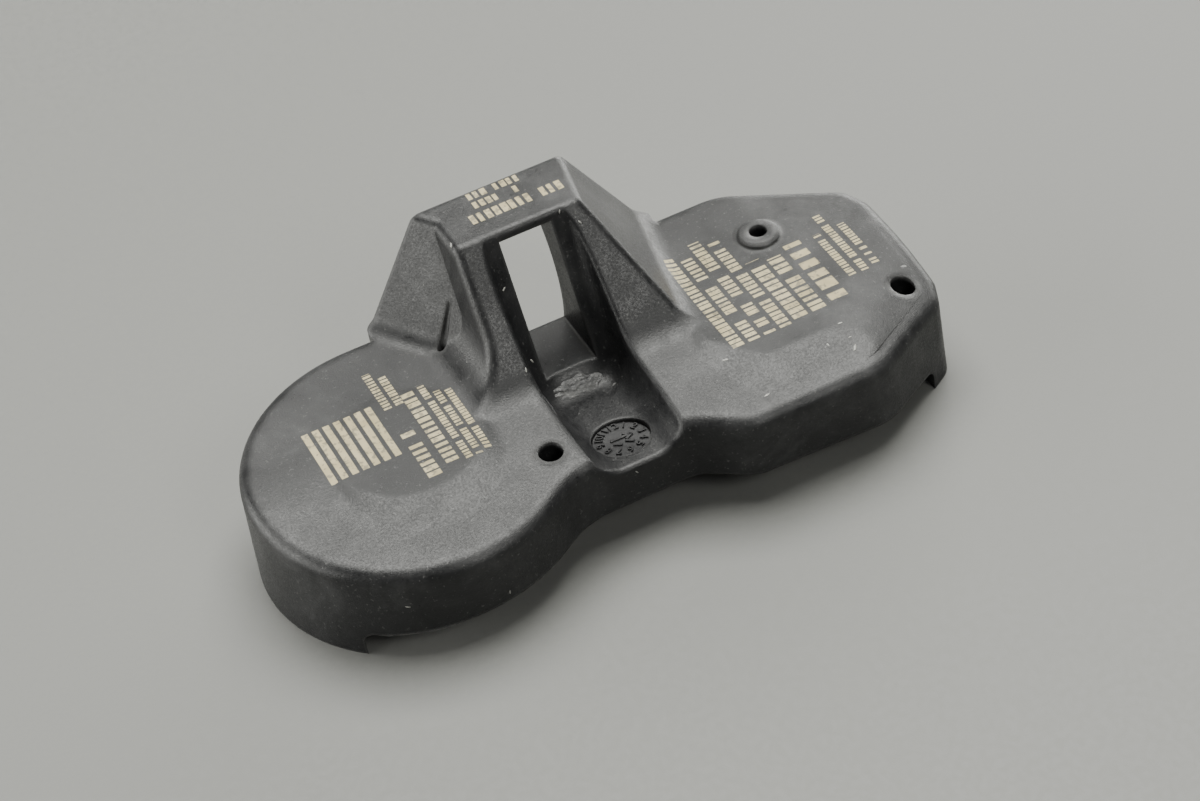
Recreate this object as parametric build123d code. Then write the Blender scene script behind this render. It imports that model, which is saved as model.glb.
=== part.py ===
"""Tyre pressure sensor: a moulded housing with a battery lobe, an electronics bay and a
valve saddle, closed underneath by potting compound that holds the cell and the board.

Millimetres. The sensor lies on its two feet, +Z up. The valve screw lies in the plane
x = 0 and leaves through the saddle towards +Y. The battery lobe is at -X.
"""
from build123d import *
from math import cos, radians, sin, sqrt, tan
import os

# Housing, plan
length = 61.1               # over both lobes
wall = 1.8
pad_proud = 0.6             # valve pad beyond the back wall
pad_half = 13.5             # half width of the valve pad
pad_r = 0.5                 # its upright edges
waist_y = -10.6             # front wall at the waist
bay_front_y = -13.5         # front wall of the electronics bay
step_start_x = 4.6          # waist wall ends, slanting out to the bay
step_end_x = 8.8            # bay wall begins
bay_front_run = 9.25        # front corner of the bay, back from the end
bay_back_run = 10.75        # back corner of the bay, back from the end
nose_half = 5.5             # half width of the flat end
nose_lean = 1.0             # how far its cheeks fall back
nose_front_y = -8.3         # cheek corner, front
nose_back_y = 7.9           # cheek corner, back
corner_r = 6.0              # bay corners
nose_r = 2.6                # corners of the flat end
step_r = 3.0                # bends of the slanted step
neck_r = 7.0                # where the lobe runs into the waist
draft_deg = 2.0             # mould draft of the walls

# Housing, roof
roof_z = 9.8                # flat roof above the table
apron_y = 0.2               # the roof falls away in front of this line
apron_deg = 5.0             # slope of that apron
apron_r = 60.0              # soft bend between roof and apron
facet_drop = 0.8            # corner facet below the roof at the end bore
facet_x_slope = 0.22        # its fall along +X
facet_y_slope = 0.25        # its fall along -Y
facet_r = 14.0              # soft bend into the facet
rim_r = 1.2                 # rounded rim
disc_r = 6.3                # raised disc over the cell
block_left_x = 9.9          # raised block over the board, up to the end
block_corner_x = 13.2
block_corner_y = -3.4
block_front_y = -7.8
block_back_y = 3.0
block_r = 1.0               # its corners
raised_lift = 0.03          # raised fields above the roof
raised_depth = 1.5          # their edges reach down to this below it
raised_inset = 1.7          # block clear of the rounded rim
raised_slope = 15.5         # slope of their edges, degrees

# Valve saddle
saddle_z = 19.4             # top of the saddle
plate_y = 8.4               # front edge of its top plate
front_slope = 48.0
plate_right_x = 5.3         # right front corner of the top plate
right_turn = 10.7           # right flank turned from the valve plane, degrees
right_slope = 57.2
plate_left_x = -6.3         # left front corner of the top plate
left_slope = 84.6
wing_x = -9.1               # wing foot where it passes the plate's front edge line
wing_turn = 32.6            # wing turned from the valve plane, degrees
wing_slope = 63.0
front_foot_r = 5.0
right_foot_r = 2.5
left_foot_r = 4.0
wing_foot_r = 2.0
foot_toe = 2.0              # angle at which the foot arcs run out into the roof
ridge_r = 1.0
plate_r = 1.0
groove_r = 0.38             # groove down the wing beside the left flank
groove_high = (-1.2, 0.7, 4.0)      # its upper end, from the roof below the plate's left corner

# Valve seat, screw slot and trough
seat_r = 10.0               # cylinder that the valve base turns on
seat_half = 6.6             # its half width between the cheeks
seat_bite = 5.8             # depth of the seat below the pad
seat_land = 0.15            # flat left above the seat
slot_w = 4.8                # passes the valve screw
slot_floor_z = 7.2
slot_roof = 0.75            # top plate left over the slot
trough_half = 4.2
trough_lean = 23.3          # back wall leaning away from the screw head, degrees
trough_low_r = 3.9          # wall corners at the floor
trough_top_r = 0.5          # wall corners at the plate
trough_floor_z = 5.6        # floor under the slot
trough_rise = 0.1           # rise of the floor towards the front
trough_floor_r = 2.8        # floor corners
trough_edge_r = 0.4         # its edges all round
date_y = -6.3               # mould date insert in the floor
date_d = 5.0
date_sink = 0.5

# Bores and pressure port
end_bore_inset = 3.35       # back from the end
end_bore_y = -5.8
end_bore_floor_z = 5.5
waist_bore_x = -6.5
waist_bore_y = -7.3
waist_bore_floor_z = 6.5
bore_d = 2.1
port_inset = 10.55          # back from the end
port_y = 6.2
port_d = 1.6
port_boss_d = 3.7
port_boss_proud = 0.5

# Underside and cavity
arch_z = 3.2                # arch between the feet, at its top
arch_r = 350.0
foot_left = 4.55            # length of each foot
foot_right = 3.05
foot_r = 1.0
cell_roof_z = 7.7           # ceiling over the cell
bay_roof_z = 7.6            # ceiling over the board
bay_left_x = 7.4
bay_end = 5.35              # solid end beyond the bay
passage_front_y = -8.9      # channel between the two for the cell tabs
passage_back_y = -2.8
passage_roof_z = 5.2
bore_wall = 0.75            # boss wall around the waist bore
bore_floor = 0.8            # boss floor under it
pot_sink = 0.4              # potting surface below the wall edges

# Cell and tabs
cell_d = 20.0
cell_gap = 2.6              # compound round the cell
cell_h = 3.2
cell_cap_d = 17.6
cell_cap_h = 0.5
cell_edge = 0.3
seat_z = 4.1                # underside of the cell and of the board
tab_t = 0.2
tab_w = 2.2
plus_tab_y = -4.1
minus_tab_y = -7.5
tab_reach = 5.0             # length of each tab under or over the cell
tab_lap = 2.0               # length of each tab on the board
tab_gap = 0.25              # tab clear of the rim of the cell

# Board and the parts on it
board_t = 0.8
board_gap = 0.4
chip_l = 7.0
chip_w = 5.0
chip_h = 2.0
chip_edge = 0.25
vent_d = 1.0
vent_depth = 0.4
ring_d = 3.8
ring_hole_d = 2.2
coil_inset = 5.0            # from the left end of the bay
coil_y = 1.5
coil_l = 8.0
coil_w = 2.6
coil_h = 2.2
coil_flange = 1.0
coil_waist = 0.5
wire_gap = 0.15
crystal_y = 8.6
crystal_l = 3.2
crystal_w = 2.5
crystal_h = 0.8
loop_inset = 2.0            # from the right end of the bay
loop_y = 0.2
loop_l = 15.0
loop_w = 1.2
loop_t = 0.4
loop_h = 2.0
loop_foot = 1.4
row_y = -3.2                # first of a row of chip parts
row_pitch = 1.9
row_count = 4
row_gap = 3.0               # between the two rows
row_inset = 3.6             # from the antenna loop
chip_part_l = 1.6
chip_part_w = 0.8
capacitor_h = 0.8
resistor_h = 0.5
inductor_inset = 3.8        # from the left end of the bay
inductor_y = -8.0
inductor_d = 2.6
inductor_h = 1.6
inductor_core_d = 1.2
inductor_flange = 0.35

# Places worked out from the sizes above
lobe_r = cell_d / 2 + cell_gap + wall
lobe_x = lobe_r - length / 2
lobe_y = -pad_proud / 2
end_x = length / 2
back_y = lobe_y + lobe_r
pad_y = back_y + pad_proud
board_z = seat_z + board_t
end_bore_x = end_x - end_bore_inset
port_x = end_x - port_inset
bay_right_x = end_x - bay_end
coil_x = bay_left_x + coil_inset
loop_x = bay_right_x - loop_inset
resistor_x = loop_x - row_inset
capacitor_x = resistor_x - row_gap
inductor_x = bay_left_x + inductor_inset
upright = (Align.CENTER, Align.CENTER, Align.MIN)
reach = 2 * length          # larger than the part, for cutting and trimming solids


def nearest(sketch, x, y):
    """The corner of a sketch nearest to a point."""
    return min(sketch.vertices(), key=lambda v: (v.X - x) ** 2 + (v.Y - y) ** 2)


def rounded(sketch, corners, radius):
    """A sketch with the named corners rounded."""
    return fillet([nearest(sketch, *corner) for corner in corners], radius)


def column(x, y, z_low, z_high, diameter):
    """An upright round bar between two heights."""
    return Pos(x, y, z_low) * Cylinder(diameter / 2, z_high - z_low, align=upright)


def block(x, y, z_low, size_x, size_y, size_z):
    """A block centred in plan, standing on a height."""
    return Pos(x, y, z_low) * Box(size_x, size_y, size_z, align=upright)


def wall_outline():
    """Outer edge of the housing at the table: the round lobe run into the bay."""
    toe = (end_x - nose_lean, nose_front_y)
    nose_front = (end_x, lobe_y - nose_half)
    nose_back = (end_x, lobe_y + nose_half)
    heel = (end_x - nose_lean, nose_back_y)
    bay_front = (end_x - bay_front_run, bay_front_y)
    bay_back = (end_x - bay_back_run, back_y)
    step_start = (step_start_x, waist_y)
    step_end = (step_end_x, bay_front_y)
    bay = Polygon((lobe_x, waist_y), step_start, step_end, bay_front, toe, nose_front, nose_back,
                  heel, bay_back, (lobe_x, back_y), align=None)
    sketch = Pos(lobe_x, lobe_y) * Circle(lobe_r) + bay
    sketch = rounded(sketch, [bay_front, bay_back], corner_r)
    sketch = rounded(sketch, [toe, nose_front, nose_back, heel], nose_r)
    sketch = rounded(sketch, [step_start, step_end], step_r)
    neck_x = lobe_x + sqrt(lobe_r ** 2 - (waist_y - lobe_y) ** 2)
    return rounded(sketch, [(neck_x, waist_y)], neck_r)


def roof_height(y):
    """Roof and apron above the table, without the soft bend."""
    return roof_z - max(0.0, apron_y - y) * tan(radians(apron_deg))


def edges_on(solid, plane):
    """The edges of a solid that lie in a plane."""
    return [e for e in solid.edges() if all(abs(plane.to_local_coords(e @ t).Z) < 1e-4 for t in (0, 0.5, 1))]


def mouth_edges(solid, cutter, before):
    """The edges where a cutter broke through the surface that a solid had before."""
    def lies_on(shape, point):
        return min(face.distance_to(point) for face in shape.faces()) < 1e-4

    return [e for e in solid.edges() if lies_on(cutter, e @ 0.5) and lies_on(before, e @ 0.5)]


def faces_beside(solid, edge):
    """The faces that share an edge."""
    return [face for face in solid.faces() if any(other.is_same(edge) for other in face.edges())]


def make_drafted_block(height):
    """Solid block inside the outer walls, which lean in by the draft."""
    body = extrude(wall_outline(), height)
    walls = [face for face in body.faces() if abs(face.normal_at().Z) < 0.5]
    return draft(walls, Plane.XY, draft_deg)


def make_under_roof():
    """Everything under the flat roof and the apron in front of it."""
    low = -wall
    profile = Plane.YZ * Polygon((reach, low), (reach, roof_z), (apron_y, roof_z),
                                 (-reach, roof_height(-reach)), (-reach, low), align=None)
    bend = [v for v in profile.vertices() if abs(v.Y - apron_y) < 0.01 and v.Z > 0]
    return extrude(fillet(bend, apron_r), reach, both=True)


def cut_facet(body, lift):
    """A body cut off under the corner facet, with the soft bend between the facet and its top."""
    facet = Plane(origin=(end_bore_x, end_bore_y, roof_z - facet_drop + lift),
                  z_dir=(facet_x_slope, -facet_y_slope, 1))
    body = split(body.solid(), bisect_by=facet, keep=Keep.BOTTOM)
    level = cos(radians((apron_deg + raised_slope) / 2))
    bends = [e for e in edges_on(body, facet)
             if max(face.normal_at(e @ 0.5).Z for face in faces_beside(body, e)) > level]
    return fillet(bends, facet_r)


def make_raised_fields():
    """Disc over the cell and block over the board, which stay level where the apron falls."""
    height = raised_depth + raised_lift
    spread = height / tan(radians(raised_slope))
    low = roof_z - raised_depth
    disc = Pos(lobe_x, lobe_y, low) * Cone(disc_r + spread, disc_r, height, align=upright)
    corners = [(block_left_x, block_back_y), (block_left_x, block_corner_y), (block_corner_x, block_front_y)]
    field = Polygon(*corners, (reach, block_front_y), (reach, block_back_y), align=None)
    field = rounded(field, corners, block_r)
    field = extrude(Pos(0, 0, low) * offset(field, spread), height, taper=90 - raised_slope)
    inside = Pos(0, 0, low) * extrude(offset(wall_outline(), -raised_inset), wall)
    return disc, cut_facet(field & inside, raised_lift)


def make_shell_block():
    """Solid block under the roof, apron and corner facet, with its rounded rim and raised fields."""
    body = cut_facet(make_drafted_block(roof_z + wall) & make_under_roof(), 0)
    rim = []
    for edge in body.edges():
        feet = [face.bounding_box().min.Z for face in faces_beside(body, edge)]
        if min(feet) < 0.5 < max(feet) and (edge @ 0.5).Z > 0.5:
            rim.append(edge)
    body = fillet(rim, rim_r)
    for field in make_raised_fields():
        body += field
    return body


def make_flank(edge_point, turn, side, slope, foot_r, level, toe):
    """Prism behind one face of the saddle: plate, slope, foot arc and a toe that dips into the roof.

    turn is the heading of the face in plan from +Y towards +X, in degrees, and side is +1 where
    the face looks to the right of that heading.
    """
    heading = Vector(sin(radians(turn)), cos(radians(turn)), 0)
    outward = Vector(heading.Y, -heading.X, 0) * side
    tangent = foot_r * tan(radians((slope - toe) / 2))
    foot_z = level + tangent * sin(radians(toe))
    foot = ((saddle_z - foot_z) / tan(radians(slope)), foot_z)
    over = roof_z / 2
    crest = (-over / tan(radians(slope)), saddle_z + over)
    far_end = (reach, foot_z - (reach - foot[0]) * tan(radians(toe)))
    outline = [(-reach, -reach), (-reach, crest[1]), crest, foot, far_end, (reach, -reach)]
    profile = rounded(Polygon(*outline, align=None), [foot], foot_r)
    plane = Plane(origin=edge_point, x_dir=outward, z_dir=outward.cross(Vector(0, 0, 1)))
    return extrude(plane * profile, reach, both=True)


def make_saddle():
    """Buttress and wing that carry the valve, with rounded ridges."""
    rise = saddle_z - roof_z
    toe_y = plate_y - rise / tan(radians(front_slope)) - front_foot_r * tan(radians(front_slope / 2))
    toe_z = roof_height(toe_y)
    wing_top_x = wing_x + rise / tan(radians(wing_slope)) / cos(radians(wing_turn))
    front = make_flank((0, plate_y, 0), 90, 1, front_slope, front_foot_r, toe_z, foot_toe + apron_deg)
    right = make_flank((plate_right_x, plate_y, 0), right_turn, 1, right_slope, right_foot_r, roof_z,
                       foot_toe)
    left = make_flank((plate_left_x, plate_y, 0), 0, -1, left_slope, left_foot_r, roof_z, foot_toe)
    wing = make_flank((wing_top_x, plate_y, 0), -wing_turn, -1, wing_slope, wing_foot_r, roof_z, foot_toe)
    wing = split(wing.solid(), bisect_by=Plane.YZ.offset(plate_left_x / 2), keep=Keep.BOTTOM)
    bed = Pos(0, pad_y, 0) * Box(2 * pad_half, pad_y - waist_y - wall, saddle_z,
                                 align=(Align.CENTER, Align.MAX, Align.MIN))
    bed = fillet(bed.edges().filter_by(Axis.Z).group_by(Axis.Y)[-1], pad_r)
    saddle = (bed & front & (right & left) + wing).solid()
    ridges = [e for e in saddle.edges() if e.geom_type == GeomType.LINE
              and max((e @ 0).Z, (e @ 1).Z) > saddle_z - 0.01 and (e @ 0.5).Y < plate_y - 0.5]
    saddle = fillet(ridges, ridge_r)
    plate_edges = [e for e in saddle.edges() if min((e @ 0).Z, (e @ 1).Z) > saddle_z - 0.01
                   and (e @ 0.5).Y < pad_y - 0.01]
    return fillet(plate_edges, plate_r)


def make_groove():
    """Narrow groove that runs up the wing beside the left flank and fades out."""
    low = Vector(wing_x, plate_y, roof_z + groove_r / 2)
    high = Vector(plate_left_x, plate_y, roof_z) + Vector(*groove_high)
    run = high - low
    channel = Plane(origin=low, z_dir=run) * Cylinder(groove_r, run.length, align=upright)
    return channel + column(low.X, low.Y, roof_z - groove_r, roof_z + wing_foot_r, 2 * groove_r)


def trough_wall(z):
    """Back wall of the trough in the valve plane, leaning away from the screw head."""
    return plate_y - (saddle_z - z) * tan(radians(trough_lean))


def trough_section(z, corner_radius):
    """The trough cut level at one height: open to the front, round at the back."""
    front = bay_front_y - wall
    back = trough_wall(z)
    corners = [(trough_half, back), (-trough_half, back)]
    sketch = Polygon((-trough_half, front), (trough_half, front), *corners, align=None)
    return Pos(0, 0, z) * rounded(sketch, corners, corner_radius)


def trough_floor(y):
    """Plane of the trough floor with its origin at one place along the valve plane."""
    height = trough_floor_z + (trough_wall(trough_floor_z) - y) * trough_rise
    return Plane(origin=(0, y, height), x_dir=(1, 0, 0), z_dir=(0, trough_rise, 1))


def make_trough():
    """Room for the screw head, from the slot down to the front lip."""
    low = trough_section(trough_floor_z - wall, trough_low_r)
    high = trough_section(saddle_z + wall, trough_top_r)
    floor = trough_floor(trough_wall(trough_floor_z))
    trough = split(loft([low, high], ruled=True), bisect_by=floor, keep=Keep.TOP)
    front = bay_front_y - wall
    return fillet([e for e in edges_on(trough, floor) if (e @ 0.5).Y > front + 0.01], trough_floor_r)


def make_seat_and_slot():
    """Concave seat for the valve base and the upright slot for its screw."""
    axis_y = pad_y - seat_bite + seat_r
    axis_z = saddle_z - seat_land - sqrt(seat_r ** 2 - (axis_y - pad_y) ** 2)
    seat = Pos(0, axis_y, axis_z) * Rot(0, 90, 0) * Cylinder(seat_r, 2 * seat_half)
    front = trough_wall(slot_floor_z) - wall
    slot_h = saddle_z - slot_roof - slot_floor_z
    slot = block(0, (front + axis_y) / 2, slot_floor_z, slot_w, axis_y - front, slot_h)
    return seat + slot


def under_arch(left_x, right_x, lift, corner):
    """Space under the arch between two faces, raised by a lift."""
    def height(x):
        return arch_z + lift - arch_r + sqrt(arch_r ** 2 - x ** 2)

    low = -2 * wall
    crown = ThreePointArc((left_x, height(left_x)), (0, height(0)), (right_x, height(right_x)))
    sides = Polyline((right_x, height(right_x)), (right_x, low), (left_x, low), (left_x, height(left_x)))
    sketch = make_face(Curve() + [crown, sides])
    if corner:
        sketch = rounded(sketch, [(left_x, height(left_x)), (right_x, height(right_x))], corner)
    return extrude(Plane.XZ * sketch, reach, both=True)


def make_cavity():
    """Room for the cell, the board and the tabs between them."""
    low = -wall
    cell_room = column(lobe_x, lobe_y, low, cell_roof_z, 2 * (lobe_r - wall))
    boss_d = bore_d + 2 * bore_wall
    cell_room -= column(waist_bore_x, waist_bore_y, waist_bore_floor_z - bore_floor, roof_z, boss_d)
    bay_h = bay_roof_z - low
    bay_room = Pos(0, 0, low) * extrude(offset(wall_outline(), -wall), bay_h)
    bay_room &= block((bay_left_x + bay_right_x) / 2, 0, low, bay_right_x - bay_left_x, reach, bay_h)
    passage = block((lobe_x + bay_left_x + wall) / 2, (passage_front_y + passage_back_y) / 2, low,
                    bay_left_x + wall - lobe_x, passage_back_y - passage_front_y, passage_roof_z - low)
    return (cell_room + bay_room + passage).solid()


def make_housing(cavity):
    """The moulded housing, one piece."""
    housing = make_shell_block() + make_saddle()
    boss = column(port_x, port_y, roof_z - wall / 2, roof_z + port_boss_proud, port_boss_d)
    housing += chamfer(boss.edges().sort_by(Axis.Z)[-1], port_boss_proud / 2)
    before = housing
    trough = make_trough()
    housing = (housing - trough).solid()
    housing = fillet(mouth_edges(housing, trough, before), trough_edge_r)
    housing -= make_groove()
    housing -= trough_floor(date_y) * column(0, 0, -date_sink, trough_half, date_d)
    housing -= make_seat_and_slot()
    housing -= column(end_bore_x, end_bore_y, end_bore_floor_z, roof_z + wall, bore_d)
    housing -= column(waist_bore_x, waist_bore_y, waist_bore_floor_z, roof_z + wall, bore_d)
    housing -= under_arch(foot_left - end_x, end_x - foot_right, 0, foot_r)
    housing -= cavity
    housing -= column(port_x, port_y, bay_roof_z - wall, roof_z + wall, port_d)
    return housing.solid()


def make_coin_cell():
    """Sealed lithium coin cell, its cap downwards."""
    cap = column(lobe_x, lobe_y, seat_z, seat_z + cell_cap_h, cell_cap_d)
    can = column(lobe_x, lobe_y, seat_z + cell_cap_h, seat_z + cell_h, cell_d)
    can = chamfer(can.edges().filter_by(GeomType.CIRCLE), cell_edge)
    return cap + can


def make_plus_tab():
    """Welded strip from the top of the cell down to the board."""
    cell_top = seat_z + cell_h
    bend_x = lobe_x + cell_d / 2 + tab_gap
    end = bay_left_x + board_gap + tab_lap
    over = block(bend_x - tab_reach / 2 + tab_t / 2, plus_tab_y, cell_top, tab_reach + tab_t, tab_w, tab_t)
    down = block(bend_x + tab_t / 2, plus_tab_y, board_z, tab_t, tab_w, cell_top + tab_t - board_z)
    along = block((bend_x + end) / 2, plus_tab_y, board_z, end - bend_x, tab_w, tab_t)
    return over + down + along


def make_minus_tab():
    """Flat strip from the cap of the cell to the underside of the board."""
    cap_edge = lobe_x + sqrt((cell_cap_d / 2) ** 2 - (minus_tab_y - lobe_y) ** 2)
    start = cap_edge - tab_reach
    end = bay_left_x + board_gap + tab_lap
    return block((start + end) / 2, minus_tab_y, seat_z - tab_t, end - start, tab_w, tab_t)


def make_board():
    """Circuit board cut to the bay."""
    sheet = Pos(0, 0, seat_z) * extrude(offset(wall_outline(), -wall - board_gap), board_t)
    left = bay_left_x + board_gap
    right = bay_right_x - board_gap
    return sheet & block((left + right) / 2, 0, seat_z, right - left, reach, board_t)


def make_sensor_chip():
    """Pressure sensor package with the vent in its lid."""
    chip = block(port_x, port_y, board_z, chip_w, chip_l, chip_h)
    chip = chamfer(chip.faces().sort_by(Axis.Z)[-1].edges(), chip_edge)
    top = board_z + chip_h
    return chip - column(port_x, port_y, top - vent_depth, top + vent_depth, vent_d)


def make_seal_ring():
    """Ring squeezed between the chip and the ceiling, which keeps the port clear."""
    low = board_z + chip_h
    ring = column(port_x, port_y, low, bay_roof_z, ring_d)
    return ring - column(port_x, port_y, low, bay_roof_z, ring_hole_d)


def make_coil():
    """Receiver coil: a ferrite core with two flanges and the winding between them."""
    winding_l = coil_l - 2 * coil_flange

    def layer(inset):
        return block(coil_x, coil_y, board_z + inset, coil_w - 2 * inset, winding_l, coil_h - 2 * inset)

    core = block(coil_x, coil_y, board_z, coil_w, coil_l, coil_h) - layer(0) + layer(coil_waist)
    winding = layer(wire_gap)
    winding = fillet(winding.edges().filter_by(Axis.Y), coil_waist - wire_gap)
    return core, winding - layer(coil_waist)


def make_crystal():
    """Quartz crystal in a flat metal can."""
    can = block(coil_x, crystal_y, board_z, crystal_l, crystal_w, crystal_h)
    return fillet(can.faces().sort_by(Axis.Z)[-1].edges(), crystal_h / 4)


def make_antenna_loop():
    """Flat strip bent into a bridge along the board."""
    half = loop_l / 2
    bridge = Polyline((-half, 0), (-half, loop_h), (half, loop_h), (half, 0), (half - loop_foot, 0),
                      (half - loop_foot, loop_t), (half - loop_t, loop_t), (half - loop_t, loop_h - loop_t),
                      (loop_t - half, loop_h - loop_t), (loop_t - half, loop_t),
                      (loop_foot - half, loop_t), (loop_foot - half, 0), (-half, 0))
    strip = extrude(Plane.YZ * make_face(bridge), loop_w / 2, both=True)
    return Pos(loop_x, loop_y, board_z) * strip


def make_row(x, height):
    """Chip parts in a row on the board."""
    places = [row_y - i * row_pitch for i in range(row_count)]
    row = [block(x, y, board_z, chip_part_l, chip_part_w, height) for y in places]
    return Compound(children=[part.solid() for part in row])


def make_inductor():
    """Small drum inductor."""
    top = board_z + inductor_h
    drum = column(inductor_x, inductor_y, board_z, board_z + inductor_flange, inductor_d)
    drum += column(inductor_x, inductor_y, board_z, top, inductor_core_d)
    return drum + column(inductor_x, inductor_y, top - inductor_flange, top, inductor_d)


def make_potting(cavity, pieces):
    """Compound poured round everything in the cavity, a little below the edges of the walls."""
    potting = cavity - under_arch(-end_x, end_x, pot_sink, 0)
    for piece in pieces:
        for solid in piece.solids():
            potting -= solid
    potting -= column(port_x, port_y, board_z + chip_h - vent_depth, bay_roof_z, (ring_d + ring_hole_d) / 2)
    return potting.solid()


cavity = make_cavity()
coil_core, coil_winding = make_coil()
inside = {
    "coin_cell": make_coin_cell(),
    "positive_tab": make_plus_tab(),
    "negative_tab": make_minus_tab(),
    "circuit_board": make_board(),
    "sensor_chip": make_sensor_chip(),
    "port_seal_ring": make_seal_ring(),
    "coil_core": coil_core,
    "coil_winding": coil_winding,
    "crystal": make_crystal(),
    "antenna_loop": make_antenna_loop(),
    "tuning_capacitors": make_row(capacitor_x, capacitor_h),
    "filter_resistors": make_row(resistor_x, resistor_h),
    "tuning_inductor": make_inductor(),
}
nodes = {"housing": make_housing(cavity), "potting": make_potting(cavity, inside.values()), **inside}

os.makedirs("parts", exist_ok=True)
for name, shape in nodes.items():
    export_step(shape, f"parts/{name}.step")
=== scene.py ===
"""Looks of a tyre pressure sensor: its moulded housing, the potted parts inside and the studio.

Metres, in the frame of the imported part: +Z up from the feet, +Y towards the valve seat. A piece's
own sizes are given in millimetres and multiplied by mm.
"""
from math import atan, cos, radians, sin, sqrt

import bmesh
import bpy
from mathutils import Euler, Matrix, Vector, noise
from mathutils.bvhtree import BVHTree


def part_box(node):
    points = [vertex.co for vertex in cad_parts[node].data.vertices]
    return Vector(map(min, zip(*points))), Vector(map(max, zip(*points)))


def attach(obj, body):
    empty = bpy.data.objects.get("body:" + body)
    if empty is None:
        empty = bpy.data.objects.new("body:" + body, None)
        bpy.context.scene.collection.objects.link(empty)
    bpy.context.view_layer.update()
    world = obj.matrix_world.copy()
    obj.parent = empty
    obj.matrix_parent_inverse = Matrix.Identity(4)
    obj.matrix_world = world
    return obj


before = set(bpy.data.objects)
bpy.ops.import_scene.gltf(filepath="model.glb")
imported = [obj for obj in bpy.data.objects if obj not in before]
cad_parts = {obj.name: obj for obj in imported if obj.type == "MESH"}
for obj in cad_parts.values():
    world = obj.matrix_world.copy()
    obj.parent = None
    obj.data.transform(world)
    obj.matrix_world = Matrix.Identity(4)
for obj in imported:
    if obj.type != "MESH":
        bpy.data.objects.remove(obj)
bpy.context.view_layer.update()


# Housing: one piece of black glass-filled nylon, injection moulded. The tool's fine spark
# texture leaves it satin, with pale fibre at the surface, handling haze and small scuffs.
# The printed fields are marked by laser, which turns the surface a dry cream.
mm = 0.001


def add_node(tree, kind, **settings):
    """A node with its properties set and its named inputs filled."""
    node = tree.nodes.new(kind)
    for name, value in settings.items():
        if hasattr(node, name):
            setattr(node, name, value)
        else:
            node.inputs[name.replace("_", " ")].default_value = value
    return node


def feed(tree, socket, value):
    """A socket linked to another, or set to a plain value."""
    if isinstance(value, bpy.types.NodeSocket):
        tree.links.new(value, socket)
    else:
        socket.default_value = value


def math_node(tree, operation, *values):
    """The result of one sum on sockets or numbers."""
    node = add_node(tree, "ShaderNodeMath", operation=operation)
    for socket, value in zip(node.inputs, values):
        feed(tree, socket, value)
    return node.outputs["Value"]


def remap(tree, source, low, high, to_low=0.0, to_high=1.0):
    """A value spread smoothly from one range to another."""
    node = add_node(tree, "ShaderNodeMapRange", interpolation_type="SMOOTHSTEP", From_Min=low,
                    From_Max=high, To_Min=to_low, To_Max=to_high)
    tree.links.new(source, node.inputs["Value"])
    return node.outputs["Result"]


def mix_colour(tree, factor, first, second):
    """Two colours mixed by a mask, through the colour sockets of a Mix node."""
    node = add_node(tree, "ShaderNodeMix", data_type="RGBA")
    sockets = node.inputs[0], node.inputs[6], node.inputs[7]
    for socket, value in zip(sockets, (factor, first, second)):
        feed(tree, socket, value)
    return node.outputs[2]


def noise_at(tree, where, scale, detail=3.0, roughness=0.6, distortion=0.0):
    """Noise over the surface, with its scale in features a metre."""
    node = add_node(tree, "ShaderNodeTexNoise", Scale=scale, Detail=detail, Roughness=roughness,
                    Distortion=distortion)
    tree.links.new(where, node.inputs["Vector"])
    return node.outputs["Fac"]


def new_group(name, inputs, outputs):
    """An empty shader group with named inputs and float outputs."""
    tree = bpy.data.node_groups.new(name, "ShaderNodeTree")
    for socket, value in inputs.items():
        kind = "NodeSocketFloat" if isinstance(value, float) else "NodeSocketVector"
        tree.interface.new_socket(socket, in_out="INPUT", socket_type=kind).default_value = value
    for socket in outputs:
        tree.interface.new_socket(socket, in_out="OUTPUT", socket_type="NodeSocketFloat")
    return tree, tree.nodes.new("NodeGroupInput").outputs, tree.nodes.new("NodeGroupOutput").inputs


def place_group(tree, group, where, **values):
    """A group in a material, with its own values."""
    node = add_node(tree, "ShaderNodeGroup", node_tree=group)
    tree.links.new(where, node.inputs["Vector"])
    for name, value in values.items():
        node.inputs[name.replace("_", " ")].default_value = value
    return node.outputs


def new_material(name):
    """A material with its tree, its shader and the place on the piece."""
    material = bpy.data.materials.new(name)
    material.use_nodes = True
    tree = material.node_tree
    where = tree.nodes.new("ShaderNodeTexCoord").outputs["Object"]
    return material, tree, tree.nodes["Principled BSDF"], where


def add_bump(tree, shader, height, strength, distance, normal=None):
    """Relief on a shader, over a given normal where there is one."""
    bump = add_node(tree, "ShaderNodeBump", Strength=strength, Distance=distance)
    tree.links.new(height, bump.inputs["Height"])
    if normal:
        tree.links.new(normal, bump.inputs["Normal"])
    tree.links.new(bump.outputs["Normal"], shader.inputs["Normal"])


def make_moulded_grain():
    """Spark-eroded mould surface: fine pits, slow flow patches and short strands of glass."""
    tree, given, result = new_group("moulded_grain", {"Vector": (0, 0, 0), "Grain Scale": 5400.0},
                                    ["Height", "Tone", "Fibre"])
    where = given["Vector"]
    pits = add_node(tree, "ShaderNodeTexNoise", Detail=3.0, Roughness=0.65)
    tree.links.new(where, pits.inputs["Vector"])
    tree.links.new(given["Grain Scale"], pits.inputs["Scale"])
    tree.links.new(pits.outputs["Fac"], result["Height"])
    patches = noise_at(tree, where, 260.0, detail=5.0, roughness=0.62, distortion=1.2)
    tree.links.new(remap(tree, patches, 0.3, 0.7), result["Tone"])
    strands = noise_at(tree, where, 3000.0, detail=2.0, roughness=0.8)
    tree.links.new(remap(tree, strands, 0.6, 0.78), result["Fibre"])
    return tree


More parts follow.
